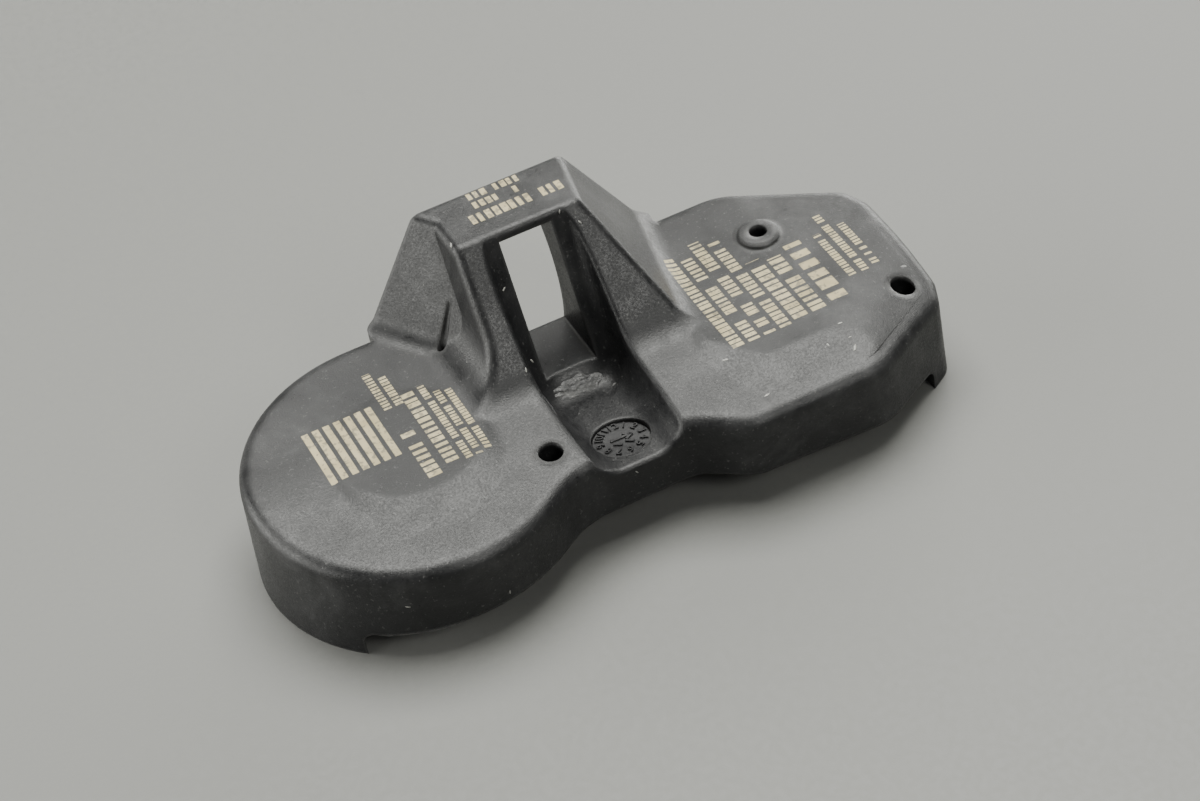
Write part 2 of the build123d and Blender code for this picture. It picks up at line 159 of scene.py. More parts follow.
def make_handling_wear():
    """Cloudy haze left by handling and a few small pale scuffs."""
    tree, given, result = new_group("handling_wear", {"Vector": (0, 0, 0), "Scuff Size": 0.03},
                                    ["Haze", "Scuff"])
    where = given["Vector"]
    cloud = noise_at(tree, where, 75.0, detail=6.0, roughness=0.68, distortion=0.9)
    cloud = remap(tree, cloud, 0.46, 0.74)
    smear = noise_at(tree, where, 620.0, detail=4.0, roughness=0.7)
    smear = remap(tree, smear, 0.3, 0.75, 0.35, 1.0)
    tree.links.new(math_node(tree, "MULTIPLY", cloud, smear), result["Haze"])
    turned = add_node(tree, "ShaderNodeMapping", Rotation=(0.4, 0.3, 0.7), Scale=(1.0, 2.6, 1.6))
    tree.links.new(where, turned.inputs["Vector"])
    cells = add_node(tree, "ShaderNodeTexVoronoi", Scale=105.0, Randomness=1.0)
    tree.links.new(turned.outputs["Vector"], cells.inputs["Vector"])
    ragged = noise_at(tree, where, 4200.0, detail=2.0)
    ragged = math_node(tree, "MULTIPLY", ragged, given["Scuff Size"])
    reach = math_node(tree, "MULTIPLY", ragged, 2.4)
    near = math_node(tree, "SUBTRACT", reach, cells.outputs["Distance"])
    tree.links.new(remap(tree, near, 0.0, 0.012), result["Scuff"])
    return tree


def make_marked_rows():
    """Rows of plain bars in a rectangle, broken here and there, for the laser-marked fields."""
    tree, given, result = new_group(
        "marked_rows",
        {"Vector": (0, 0, 0), "Corner": (0, 0, 0), "Along": (1, 0, 0), "Across": (0, 1, 0),
         "Row Length": 0.01, "Row Pitch": 0.0015, "Row Count": 3.0, "Bar Share": 0.6,
         "Ragged": 0.3, "Block": 0.0008, "Breaks": 0.15, "Seed": 1.0}, ["Mask"])
    mark_depth, soft_end = 0.3 * mm, 0.06

    def vector_node(operation, first, second):
        """The outputs of one sum on two vectors."""
        node = add_node(tree, "ShaderNodeVectorMath", operation=operation)
        tree.links.new(first, node.inputs[0])
        tree.links.new(second, node.inputs[1])
        return node.outputs

    def chance(first, second):
        """A fixed random draw for a row, a block or both."""
        spot = add_node(tree, "ShaderNodeCombineXYZ")
        tree.links.new(first, spot.inputs["X"])
        feed(tree, spot.inputs["Y"], second)
        tree.links.new(given["Seed"], spot.inputs["Z"])
        draw = add_node(tree, "ShaderNodeTexWhiteNoise", noise_dimensions="3D")
        tree.links.new(spot.outputs["Vector"], draw.inputs["Vector"])
        return draw.outputs["Value"]

    away = vector_node("SUBTRACT", given["Vector"], given["Corner"])["Vector"]
    along = vector_node("DOT_PRODUCT", away, given["Along"])["Value"]
    across = vector_node("DOT_PRODUCT", away, given["Across"])["Value"]
    parts = add_node(tree, "ShaderNodeSeparateXYZ")
    tree.links.new(away, parts.inputs["Vector"])
    off_face = math_node(tree, "ABSOLUTE", parts.outputs["Z"])
    on_face = math_node(tree, "LESS_THAN", off_face, mark_depth)
    rows = math_node(tree, "DIVIDE", across, given["Row Pitch"])
    row = math_node(tree, "FLOOR", rows)
    in_row = math_node(tree, "FRACT", rows)
    bar = remap(tree, math_node(tree, "SUBTRACT", given["Bar Share"], in_row), 0.0, soft_end)
    bar = math_node(tree, "MULTIPLY", bar, remap(tree, in_row, 0.0, soft_end))
    middle = math_node(tree, "DIVIDE", given["Row Count"], 2.0)
    from_middle = math_node(tree, "ABSOLUTE", math_node(tree, "SUBTRACT", rows, middle))
    counted = math_node(tree, "LESS_THAN", from_middle, middle)
    cut = math_node(tree, "MULTIPLY", chance(row, 7.0), given["Ragged"])
    share = math_node(tree, "ADD", math_node(tree, "DIVIDE", along, given["Row Length"]), cut)
    inside = remap(tree, share, 1.0, 0.99)
    started = remap(tree, along, 0.0, 0.05 * mm)
    cells = math_node(tree, "DIVIDE", along, given["Block"])
    cell = math_node(tree, "FLOOR", cells)
    whole = math_node(tree, "GREATER_THAN", chance(cell, row), given["Breaks"])
    width = math_node(tree, "MULTIPLY_ADD", chance(row, cell), 0.3, 0.52)
    in_cell = math_node(tree, "FRACT", cells)
    block = remap(tree, math_node(tree, "SUBTRACT", width, in_cell), -soft_end, soft_end)
    mask = on_face
    for part in (bar, counted, inside, started, whole, block):
        mask = math_node(tree, "MULTIPLY", mask, part)
    tree.links.new(mask, result["Mask"])
    return tree


moulded_grain = make_moulded_grain()
handling_wear = make_handling_wear()
marked_rows = make_marked_rows()

roof_top, saddle_top = 9.83, 19.4
back, front, right = (0, 1, 0), (0, -1, 0), (1, 0, 0)
# corner in mm, then the direction of a row, the direction from row to row, row length,
# pitch and count, the share that is marked, raggedness, block length, breaks and seed
marked_fields = [
    ((-23.3, -1.3, roof_top), back, right, 6.8, 0.95, 7.0, 0.66, 0.0, 50.0, 0.0, 1.0),
    ((-16.3, -5.2, roof_top), back, right, 6.2, 1.40, 1.0, 0.90, 0.0, 0.78, 0.10, 21.0),
    ((-14.4, -5.1, roof_top), back, right, 10.5, 1.30, 1.0, 0.90, 0.0, 0.70, 0.12, 23.0),
    ((-12.8, -4.8, roof_top), back, right, 12.2, 0.90, 3.0, 0.72, 0.45, 0.40, 0.12, 3.0),
    ((-16.2, 4.3, roof_top), back, right, 5.2, 1.05, 2.0, 0.72, 0.2, 0.42, 0.10, 4.0),
    ((11.3, -5.5, roof_top), back, right, 14.2, 1.48, 4.0, 0.76, 0.12, 0.58, 0.12, 5.0),
    ((17.2, -5.2, roof_top), back, right, 9.2, 1.75, 2.0, 0.80, 0.28, 0.72, 0.10, 6.0),
    ((20.9, -4.9, roof_top), back, right, 8.6, 2.00, 1.0, 0.85, 0.0, 1.60, 0.05, 7.0),
    ((23.7, -3.0, roof_top), back, right, 10.6, 1.22, 3.0, 0.62, 0.5, 0.40, 0.10, 11.0),
    ((-3.5, 11.8, saddle_top), right, front, 8.6, 1.60, 1.0, 0.82, 0.0, 0.72, 0.05, 9.0),
    ((-2.5, 14.6, saddle_top), right, front, 6.5, 1.30, 2.0, 0.74, 0.4, 0.62, 0.06, 10.0),
]
black_deep, black_pale = (0.0075, 0.0077, 0.0083, 1), (0.0140, 0.0142, 0.0148, 1)
# the paler edge colour stands partly for rubbed wear and partly for a painted highlight along edges
haze_colour, edge_wear_and_highlight_colour = (0.060, 0.060, 0.061, 1), (0.10, 0.10, 0.10, 1)
glass_colour = (0.16, 0.16, 0.155, 1)
cream_dark, cream_pale = (0.34, 0.29, 0.165, 1), (0.45, 0.39, 0.245, 1)
# the roof's rim is rounded more than the other edges
rim_height, rim_r, edge_r, grain_depth = 9.3 * mm, 0.95 * mm, 0.42 * mm, 0.045 * mm


def make_housing_plastic():
    """Black nylon: haze, edges paler with wear and painted highlight, surface glass, laser-marked
    fields.
    """
    material, tree, shader, where = new_material("black_moulded_nylon")
    grain = place_group(tree, moulded_grain, where)
    wear = place_group(tree, handling_wear, where)
    colour = mix_colour(tree, grain["Tone"], black_deep, black_pale)
    haze = math_node(tree, "MULTIPLY", wear["Haze"], 0.8)
    colour = mix_colour(tree, haze, colour, haze_colour)
    height = add_node(tree, "ShaderNodeSeparateXYZ")
    tree.links.new(where, height.inputs["Vector"])
    above_rim = math_node(tree, "SUBTRACT", height.outputs["Z"], rim_height)
    off_rim = math_node(tree, "ABSOLUTE", above_rim)
    soft_edge = add_node(tree, "ShaderNodeBevel", samples=6)
    tree.links.new(remap(tree, off_rim, 0.9 * mm, 2.2 * mm, rim_r, edge_r),
                   soft_edge.inputs["Radius"])
    # where the rounded shading normal turns from the face's own, at convex edges and concave
    # creases alike, the colour is painted paler: partly rubbed wear, partly a painted highlight
    turned = add_node(tree, "ShaderNodeVectorMath", operation="DOT_PRODUCT")
    tree.links.new(soft_edge.outputs["Normal"], turned.inputs[0])
    tree.links.new(tree.nodes.new("ShaderNodeNewGeometry").outputs["Normal"], turned.inputs[1])
    edge_wear_and_highlight = remap(tree, turned.outputs["Value"], 0.99, 0.85, 0.0, 0.6)
    colour = mix_colour(tree, edge_wear_and_highlight, colour, edge_wear_and_highlight_colour)
    fibre = math_node(tree, "MULTIPLY", grain["Fibre"], 0.4)
    pale = math_node(tree, "MAXIMUM", fibre, wear["Scuff"])
    colour = mix_colour(tree, pale, colour, glass_colour)
    marked = None
    for (corner, along, across, length, pitch, count, share, ragged, block, breaks,
         seed) in marked_fields:
        field = place_group(tree, marked_rows, where, Corner=Vector(corner) * mm, Along=along,
                            Across=across, Row_Length=length * mm, Row_Pitch=pitch * mm,
                            Row_Count=count, Bar_Share=share, Ragged=ragged, Block=block * mm,
                            Breaks=breaks, Seed=seed)["Mask"]
        marked = math_node(tree, "MAXIMUM", marked, field) if marked else field
    bite = remap(tree, noise_at(tree, where, 2300.0, detail=1.0), 0.34, 0.48, 0.5, 1.0)
    etched = math_node(tree, "MULTIPLY", marked, bite)
    cream = mix_colour(tree, grain["Tone"], cream_dark, cream_pale)
    colour = mix_colour(tree, etched, colour, cream)
    tree.links.new(colour, shader.inputs["Base Color"])
    satin = math_node(tree, "ADD", remap(tree, grain["Tone"], 0.0, 1.0, 0.34, 0.43),
                      remap(tree, grain["Height"], 0.32, 0.68, -0.07, 0.12))
    dry = math_node(tree, "MULTIPLY", etched, 0.75)
    tree.links.new(math_node(tree, "MAXIMUM", satin, dry), shader.inputs["Roughness"])
    add_bump(tree, shader, grain["Height"], 0.5, grain_depth, soft_edge.outputs["Normal"])
    shader.inputs["Specular IOR Level"].default_value = 0.38
    return material


def dress(name, material):
    """A CAD node's own object with its finish."""
    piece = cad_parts[name]
    piece.data.materials.clear()
    piece.data.materials.append(material)


def add_piece(name, mesh, material):
    """A finished mesh as a piece of the sensor."""
    piece = bpy.data.objects.new(name, mesh)
    bpy.context.scene.collection.objects.link(piece)
    mesh.materials.clear()
    mesh.materials.append(material)
    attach(piece, "root")


dress("housing", make_housing_plastic())


# Mould date mark: the print of a turned steel insert in the mould, a round flat below the
# trough floor. The insert is engraved, so the month numbers and the arrow stand proud here.
insert_d, insert_t, insert_sunk, insert_sides = 4.84, 0.5, 0.21, 96
insert_centre, insert_tilt = Vector((0, -6.35, 5.978)), -atan(0.1)
insert_lean = Matrix.Rotation(radians(3.2), 4, Vector((-0.8, 0.6, 0)))
number_r, number_size, number_proud = 1.85, 1.05, 0.17
first_month_angle, month_step = 60, 30
stroke_w, arrow_shaft, arrow_head, year_stroke = 0.25, 1.9, 0.85, 0.75
arrow_tip, arrow_y, barb_turn, barb_share = 0.95, 0.1, 0.6, 0.42
year_spots, year_turn = ((-0.6, -0.62), (0.45, -0.72)), -0.65


def new_geometry_tree(name, inputs):
    """An empty geometry tree with named size inputs."""
    tree = bpy.data.node_groups.new(name, "GeometryNodeTree")
    tree.interface.new_socket("Geometry", in_out="INPUT", socket_type="NodeSocketGeometry")
    for label, value in inputs.items():
        socket = tree.interface.new_socket(label, in_out="INPUT", socket_type="NodeSocketFloat")
        socket.default_value = value
    tree.interface.new_socket("Geometry", in_out="OUTPUT", socket_type="NodeSocketGeometry")
    return tree, tree.nodes.new("NodeGroupInput").outputs, tree.nodes.new("NodeGroupOutput").inputs


def grow_mesh(name, tree, values):
    """The plain mesh that a geometry tree makes with its inputs set."""
    holder = bpy.data.objects.new(name, bpy.data.meshes.new(name))
    bpy.context.scene.collection.objects.link(holder)
    modifier = holder.modifiers.new(name, "NODES")
    modifier.node_group = tree
    for item in tree.interface.items_tree:
        if item.in_out == "INPUT" and item.name in values:
            modifier[item.identifier] = values[item.name]
    graph = bpy.context.evaluated_depsgraph_get()
    mesh = bpy.data.meshes.new_from_object(holder.evaluated_get(graph))
    bpy.data.objects.remove(holder)
    mesh.name = name
    return mesh


def make_date_insert_tree():
    """A round flat with raised strokes: a ring of month numbers, an arrow and two for the year."""
    tree, given, result = new_geometry_tree(
        "date_insert",
        {"Diameter": 0.005, "Thickness": 0.0002, "Number Radius": 0.002, "Number Size": 0.001,
         "Proud": 0.0001, "Stroke Width": 0.0002, "Shaft": 0.002, "Head": 0.0007,
         "Year Stroke": 0.0006})
    top = math_node(tree, "DIVIDE", given["Thickness"], 2.0)
    gathered = add_node(tree, "GeometryNodeJoinGeometry")

    def gather(shape, x, y, heading):
        """A shape moved to its place on the flat and joined to the rest."""
        spot = add_node(tree, "ShaderNodeCombineXYZ")
        for axis, value in zip("XYZ", (x, y, top)):
            feed(tree, spot.inputs[axis], value)
        moved = add_node(tree, "GeometryNodeTransform")
        tree.links.new(shape, moved.inputs["Geometry"])
        tree.links.new(spot.outputs["Vector"], moved.inputs["Translation"])
        moved.inputs["Rotation"].default_value = (0, 0, heading)
        tree.links.new(moved.outputs["Geometry"], gathered.inputs["Geometry"])

    def bar(length):
        """A straight raised stroke."""
        size = add_node(tree, "ShaderNodeCombineXYZ")
        tree.links.new(length, size.inputs["X"])
        tree.links.new(given["Stroke Width"], size.inputs["Y"])
        tree.links.new(math_node(tree, "MULTIPLY", given["Proud"], 2.0), size.inputs["Z"])
        cube = add_node(tree, "GeometryNodeMeshCube")
        tree.links.new(size.outputs["Vector"], cube.inputs["Size"])
        return cube.outputs["Mesh"]

    flat = add_node(tree, "GeometryNodeMeshCylinder", Vertices=insert_sides)
    tree.links.new(math_node(tree, "DIVIDE", given["Diameter"], 2.0), flat.inputs["Radius"])
    tree.links.new(given["Thickness"], flat.inputs["Depth"])
    tree.links.new(flat.outputs["Mesh"], gathered.inputs["Geometry"])
    for month in range(12):
        number = add_node(tree, "GeometryNodeStringToCurves", align_x="CENTER", align_y="MIDDLE",
                          String=str(month + 1))
        tree.links.new(given["Number Size"], number.inputs["Size"])
        outline = add_node(tree, "GeometryNodeRealizeInstances")
        tree.links.new(number.outputs["Curve Instances"], outline.inputs["Geometry"])
        filled = add_node(tree, "GeometryNodeFillCurve")
        tree.links.new(outline.outputs["Geometry"], filled.inputs["Curve"])
        raised = add_node(tree, "GeometryNodeExtrudeMesh", Individual=False)
        tree.links.new(filled.outputs["Mesh"], raised.inputs["Mesh"])
        tree.links.new(given["Proud"], raised.inputs["Offset Scale"])
        angle = radians(first_month_angle - month_step * month)
        x = math_node(tree, "MULTIPLY", given["Number Radius"], cos(angle))
        y = math_node(tree, "MULTIPLY", given["Number Radius"], sin(angle))
        gather(raised.outputs["Mesh"], x, y, angle - radians(90))
    gather(bar(given["Shaft"]), 0.0, arrow_y * mm, 0.0)
    reach = barb_share * arrow_head
    for turn in (barb_turn, -barb_turn):
        x, y = arrow_tip - reach * cos(turn), arrow_y - reach * sin(turn)
        gather(bar(given["Head"]), x * mm, y * mm, turn)
    for x, y in year_spots:
        gather(bar(given["Year Stroke"]), x * mm, y * mm, year_turn)
    realize = add_node(tree, "GeometryNodeRealizeInstances")
    tree.links.new(gathered.outputs["Geometry"], realize.inputs["Geometry"])
    finish = add_node(tree, "GeometryNodeSetMaterial", Material=insert_face)
    tree.links.new(realize.outputs["Geometry"], finish.inputs["Geometry"])
    tree.links.new(finish.outputs["Geometry"], result["Geometry"])
    return tree


def make_insert_face():
    """The housing's nylon as the insert left it, finer and unmarked."""
    material, tree, shader, where = new_material("date_mark_nylon")
    grain = place_group(tree, moulded_grain, where, Grain_Scale=3600.0)
    colour = mix_colour(tree, grain["Tone"], (0.008, 0.008, 0.009, 1), (0.021, 0.021, 0.022, 1))
    fibre = math_node(tree, "MULTIPLY", grain["Fibre"], 0.4)
    colour = mix_colour(tree, fibre, colour, (0.14, 0.14, 0.135, 1))
    tree.links.new(colour, shader.inputs["Base Color"])
    tree.links.new(remap(tree, grain["Tone"], 0.0, 1.0, 0.42, 0.56), shader.inputs["Roughness"])
    soft_edge = add_node(tree, "ShaderNodeBevel", samples=4, Radius=0.07 * mm)
    add_bump(tree, shader, grain["Height"], 0.5, 0.05 * mm, soft_edge.outputs["Normal"])
    return material


insert_face = make_insert_face()
date_mesh = grow_mesh("date_mark", make_date_insert_tree(), {
    "Diameter": insert_d * mm, "Thickness": insert_t * mm, "Number Radius": number_r * mm,
    "Number Size": number_size * mm, "Proud": number_proud * mm, "Stroke Width": stroke_w * mm,
    "Shaft": arrow_shaft * mm, "Head": arrow_head * mm, "Year Stroke": year_stroke * mm})
insert_rise = Matrix.Translation((0, 0, (insert_t / 2 - insert_sunk) * mm))
lie_flat = Matrix.Rotation(insert_tilt, 4, "X") @ insert_lean @ insert_rise
date_mesh.transform(Matrix.Translation(insert_centre * mm) @ lie_flat)
add_piece("date_mark", date_mesh, insert_face)


# Gate mark: where the plastic was fed into the mould, in the trough below the slot. The
# sprue was broken off, which leaves a torn patch with pale glass showing.
gate_centre, gate_lean = Vector((-0.2, 1.75, 6.06)), radians(26)
gate_size, gate_raggedness, gate_crumb = Vector((2.6, 0.95, 0.24)), 0.42, 0.14


def make_gate_mesh():
    """A flattened ball with a ragged outline and a torn upper side."""
    shape = bmesh.new()
    bmesh.ops.create_icosphere(shape, subdivisions=5, radius=1.0)
    for vertex in shape.verts:
        spot = vertex.co.copy()
        edge = 1 + gate_raggedness * noise.noise(Vector((spot.x * 2.1, spot.y * 2.1, 3.0)))
        crumb = noise.fractal(Vector((spot.x * 5.5, spot.y * 2.4, spot.z)), 0.8, 2.1, 5)
        vertex.co = Vector((spot.x * edge * gate_size.x, spot.y * edge * gate_size.y,
                            spot.z * gate_size.z + max(spot.z, 0) * crumb * gate_crumb)) * mm
    shape.transform(Matrix.Translation(gate_centre * mm) @ Matrix.Rotation(gate_lean, 4, "X"))
    mesh = bpy.data.meshes.new("gate_mark")
    shape.to_mesh(mesh)
    shape.free()
    mesh.shade_smooth()
    return mesh


def make_torn_nylon():
    """Broken nylon, paler than the moulded surface, with bare strands of glass."""
    material, tree, shader, where = new_material("torn_nylon")
    grain = place_group(tree, moulded_grain, where, Grain_Scale=2400.0)
    breaks = remap(tree, noise_at(tree, where, 900.0, detail=4.0, roughness=0.7), 0.35, 0.7)
    colour = mix_colour(tree, breaks, (0.024, 0.024, 0.025, 1), (0.085, 0.085, 0.083, 1))
    colour = mix_colour(tree, grain["Fibre"], colour, (0.2, 0.2, 0.19, 1))
    tree.links.new(colour, shader.inputs["Base Color"])
    tree.links.new(remap(tree, grain["Tone"], 0.0, 1.0, 0.4, 0.65), shader.inputs["Roughness"])
    add_bump(tree, shader, grain["Height"], 0.8, 0.08 * mm)
    return material


torn_nylon = make_torn_nylon()
add_piece("gate_mark", make_gate_mesh(), torn_nylon)


# Mould flash: a thin ragged fin of the same nylon that the parting of the mould left on the
# lower edge of the battery lobe, at the front. It hangs by a varying drop from the arched edge.
arch_top, arch_r = 3.2, 350.0
flash_from, flash_to, flash_steps = -25.3, -17.0, 160
flash_t, flash_proud, flash_lap = 0.05, 0.012, 0.06
least_drop, ragged_drop, wall_probe = 0.06, 0.16, 0.6
housing_surface = BVHTree.FromObject(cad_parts["housing"],
                                     bpy.context.evaluated_depsgraph_get())


def flash_drop(share):
    """How far the fin hangs at a share of its length, fading out at both ends."""
    fade = min(1.0, 10 * share, 4 * (1 - share))
    tear = abs(noise.fractal(Vector((share * 11, 0.3, 0)), 0.7, 2.0, 4))
    return fade * (least_drop + ragged_drop * tear)


def make_flash_mesh():
    """A closed strip along the lower edge of the front wall, four corners to a step."""
    shape = bmesh.new()
    rows = []
    for step in range(flash_steps + 1):
        share = step / flash_steps
        x = flash_from + (flash_to - flash_from) * share
        edge = arch_top - arch_r + sqrt(arch_r ** 2 - x ** 2)
        eye = Vector((x, -40, edge + wall_probe)) * mm
        spot, normal = housing_surface.ray_cast(eye, Vector((0, 1, 0)))[:2]
        outer = Vector((spot.x, spot.y, 0)) / mm
        inward = -Vector((normal.x, normal.y, 0)).normalized()
        outer -= inward * flash_proud
        inner = outer + inward * flash_t
        top, tip = edge + flash_lap, edge - flash_drop(share)
        corners = ((outer, top), (outer, tip), (inner, tip), (inner, top))
        rows.append([shape.verts.new((place + Vector((0, 0, height))) * mm)
                     for place, height in corners])
    for first, second in zip(rows, rows[1:]):
        for side in range(4):
            after = (side + 1) % 4
            shape.faces.new((first[side], second[side], second[after], first[after]))
    shape.faces.new(rows[0])
    shape.faces.new(list(reversed(rows[-1])))
    bmesh.ops.recalc_face_normals(shape, faces=shape.faces)
    mesh = bpy.data.meshes.new("mould_flash")
    shape.to_mesh(mesh)
    shape.free()
    return mesh


add_piece("mould_flash", make_flash_mesh(), torn_nylon)


# Flecks: small pale chips and bits of glass from the moulding that cling to the housing, more
# of them on the bay's front edge and around the saddle. Each is a flattened ragged grain.
fleck_spots = [
    (20.15, -9.3, 9.41), (20.17, -7.67, 9.76), (18.16, -9.16, 9.45), (19.97, -10.4, 9.11),
    (11.37, -10.99, 8.82), (-1.79, 1.77, 6.09), (-3.1, 3.43, 9.27), (-4.6, 0.82, 11.0),
    (-3.31, 6.4, 15.21), (-6.05, 9.53, 19.15), (4.57, 7.19, 18.06), (3.4, 8.6, 18.9),
    (10.24, -5.95, 9.48), (-22.44, -13.03, 5.39), (-0.63, -10.38, 6.16), (-14.43, -14.46, 3.69)]
fleck_length, fleck_width, fleck_proud = 0.3, 0.1, 0.035
fleck_least, fleck_spread, fleck_raggedness, fleck_turn = 0.55, 0.6, 0.35, 2.4


def make_fleck_mesh():
    """All the grains as one mesh, each laid flat where it clings."""
    shape = bmesh.new()
    for number, spot in enumerate(fleck_spots):
        place, normal = housing_surface.find_nearest(Vector(spot) * mm)[:2]
        draw = abs(noise.noise(Vector((number * 1.7, 0.4, 0.2))) * 2)
        size = fleck_least + fleck_spread * draw
        made = bmesh.ops.create_icosphere(shape, subdivisions=3, radius=1.0)["verts"]
        spin = Matrix.Rotation(number * fleck_turn, 3, "Z")
        upright = normal.to_track_quat("Z", "Y").to_matrix() @ spin
        for vertex in made:
            rough = 1 + fleck_raggedness * noise.noise(vertex.co * 2 + Vector((number, 0, 0)))
            flat = Vector((vertex.co.x * fleck_length * size, vertex.co.y * fleck_width * size,
                           vertex.co.z * fleck_proud)) * rough * mm
            vertex.co = place + upright @ flat
    mesh = bpy.data.meshes.new("flecks")
    shape.to_mesh(mesh)
    shape.free()
    mesh.shade_smooth()
    return mesh


def make_pale_fleck():
    """Pale glass and scuffed plastic."""
    material, tree, shader, where = new_material("pale_fleck")
    grain = place_group(tree, moulded_grain, where, Grain_Scale=3000.0)
    colour = mix_colour(tree, grain["Tone"], (0.20, 0.20, 0.185, 1), (0.36, 0.355, 0.33, 1))
    tree.links.new(colour, shader.inputs["Base Color"])
    tree.links.new(remap(tree, grain["Height"], 0.3, 0.7, 0.3, 0.55), shader.inputs["Roughness"])
    add_bump(tree, shader, grain["Height"], 0.6, 0.03 * mm)
    return material


add_piece("flecks", make_fleck_mesh(), make_pale_fleck())


# Cell and its tabs: a lithium coin cell in a nickel-plated steel can, with two strips of tinned
# spring steel welded to it. The crystal's can on the board is the same bright metal.
def make_rolled_metal():
    """Fine lines of rolling and slow stains on bright metal."""
    tree, given, result = new_group("rolled_metal", {"Vector": (0, 0, 0), "Line Scale": 1800.0},
                                    ["Line", "Stain"])
    drawn = add_node(tree, "ShaderNodeMapping", Scale=(0.06, 1.0, 1.0))
    tree.links.new(given["Vector"], drawn.inputs["Vector"])
    lines = add_node(tree, "ShaderNodeTexNoise", Detail=4.0, Roughness=0.7)
    tree.links.new(drawn.outputs["Vector"], lines.inputs["Vector"])
    tree.links.new(given["Line Scale"], lines.inputs["Scale"])
    tree.links.new(lines.outputs["Fac"], result["Line"])
    stains = noise_at(tree, given["Vector"], 210.0, detail=4.0)
    tree.links.new(remap(tree, stains, 0.35, 0.7), result["Stain"])
    return tree


rolled_metal = make_rolled_metal()


def make_bright_metal(name, clean, stained, smooth, rough, line_scale):
    """Rolled strip or a drawn can, a little stained."""
    material, tree, shader, where = new_material(name)
    rolled = place_group(tree, rolled_metal, where, Line_Scale=line_scale)
    tree.links.new(mix_colour(tree, rolled["Stain"], clean, stained), shader.inputs["Base Color"])
    tree.links.new(remap(tree, rolled["Line"], 0.3, 0.7, smooth, rough), shader.inputs["Roughness"])
    add_bump(tree, shader, rolled["Line"], 0.15, 0.01 * mm)
    shader.inputs["Metallic"].default_value = 1.0
    return material


dress("coin_cell", make_bright_metal(
    "cell_nickel", clean=(0.66, 0.65, 0.62, 1), stained=(0.55, 0.54, 0.50, 1),
    smooth=0.2, rough=0.34, line_scale=1500.0))
tinned_steel = make_bright_metal(
    "tinned_steel", clean=(0.70, 0.70, 0.69, 1), stained=(0.58, 0.58, 0.57, 1),
    smooth=0.26, rough=0.42, line_scale=2600.0)
for name in ("positive_tab", "negative_tab", "crystal"):
    dress(name, tinned_steel)


# Circuit board: glass cloth and epoxy with copper tracks under a green solder mask, cut to the
# bay's outline. The casting resin holds it below the roof.
def make_solder_mask():
    """Green lacquer over glass cloth, raised where tracks run under it."""
    material, tree, shader, where = new_material("green_solder_mask")
    weave = add_node(tree, "ShaderNodeTexChecker", Scale=1600.0)
    tree.links.new(where, weave.inputs["Vector"])
    tracks = add_node(tree, "ShaderNodeTexBrick", Scale=260.0, Mortar_Size=0.05, offset=0.35)
    tree.links.new(where, tracks.inputs["Vector"])
    cloth = mix_colour(tree, weave.outputs["Fac"], (0.010, 0.085, 0.030, 1),
                       (0.013, 0.100, 0.036, 1))
    lines = tracks.outputs["Fac"]
    colour = mix_colour(tree, lines, cloth, (0.03, 0.19, 0.07, 1))
    tree.links.new(colour, shader.inputs["Base Color"])
    uneven = noise_at(tree, where, 700.0)
    tree.links.new(remap(tree, uneven, 0.3, 0.7, 0.25, 0.38), shader.inputs["Roughness"])
    add_bump(tree, shader, lines, 0.3, 0.03 * mm)
    return material


dress("circuit_board", make_solder_mask())


# Parts on the board: the sensor package and chip resistors in black moulding compound, ceramic
# chip capacitors with tinned ends, ferrite cores, the coil's enamelled wire and a copper loop.
def make_compound(name, dark, light, smooth, rough, grain_scale):
    """A dull moulded or sintered body."""
    material, tree, shader, where = new_material(name)
    grain = place_group(tree, moulded_grain, where, Grain_Scale=grain_scale)
    tree.links.new(mix_colour(tree, grain["Tone"], dark, light), shader.inputs["Base Color"])
    satin = remap(tree, grain["Height"], 0.3, 0.7, smooth, rough)
    tree.links.new(satin, shader.inputs["Roughness"])
    add_bump(tree, shader, grain["Height"], 0.3, 0.02 * mm)
    return material


def make_chip_body(name, node, body_dark, body_light, end_share):
    """Chip parts whose two ends are tinned."""
    material, tree, shader, where = new_material(name)
    tin, end_blur = (0.66, 0.66, 0.65, 1), 0.02 * mm
    low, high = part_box(node)
    parts = add_node(tree, "ShaderNodeSeparateXYZ")
    tree.links.new(where, parts.inputs["Vector"])
    along = math_node(tree, "SUBTRACT", parts.outputs["X"], (low.x + high.x) / 2)
    off = math_node(tree, "ABSOLUTE", along)
    body_half = (high.x - low.x) / 2 * (1 - end_share)
    ends = remap(tree, off, body_half - end_blur, body_half + end_blur)
    speck = remap(tree, noise_at(tree, where, 5200.0), 0.3, 0.7)
    body = mix_colour(tree, speck, body_dark, body_light)
    tree.links.new(mix_colour(tree, ends, body, tin), shader.inputs["Base Color"])
    tree.links.new(ends, shader.inputs["Metallic"])
    tree.links.new(remap(tree, speck, 0.0, 1.0, 0.3, 0.48), shader.inputs["Roughness"])
    return material


def make_wound_copper():
    """Turns of enamelled wire, with painted shade between the rounds."""
    material, tree, shader, where = new_material("wound_copper")
    turns = add_node(tree, "ShaderNodeTexWave", wave_type="BANDS", bands_direction="Y",
                     Scale=2000.0)
    tree.links.new(where, turns.inputs["Vector"])
    rounds = turns.outputs["Fac"]
    # the wire is painted darker between the rounds: painted shade in the grooves between turns
    colour = mix_colour(tree, rounds, (0.22, 0.07, 0.025, 1), (0.62, 0.26, 0.12, 1))
    tree.links.new(colour, shader.inputs["Base Color"])
    tree.links.new(remap(tree, rounds, 0.0, 1.0, 0.45, 0.26), shader.inputs["Roughness"])
    add_bump(tree, shader, rounds, 0.8, 0.06 * mm)
    shader.inputs["Metallic"].default_value = 1.0
    return material


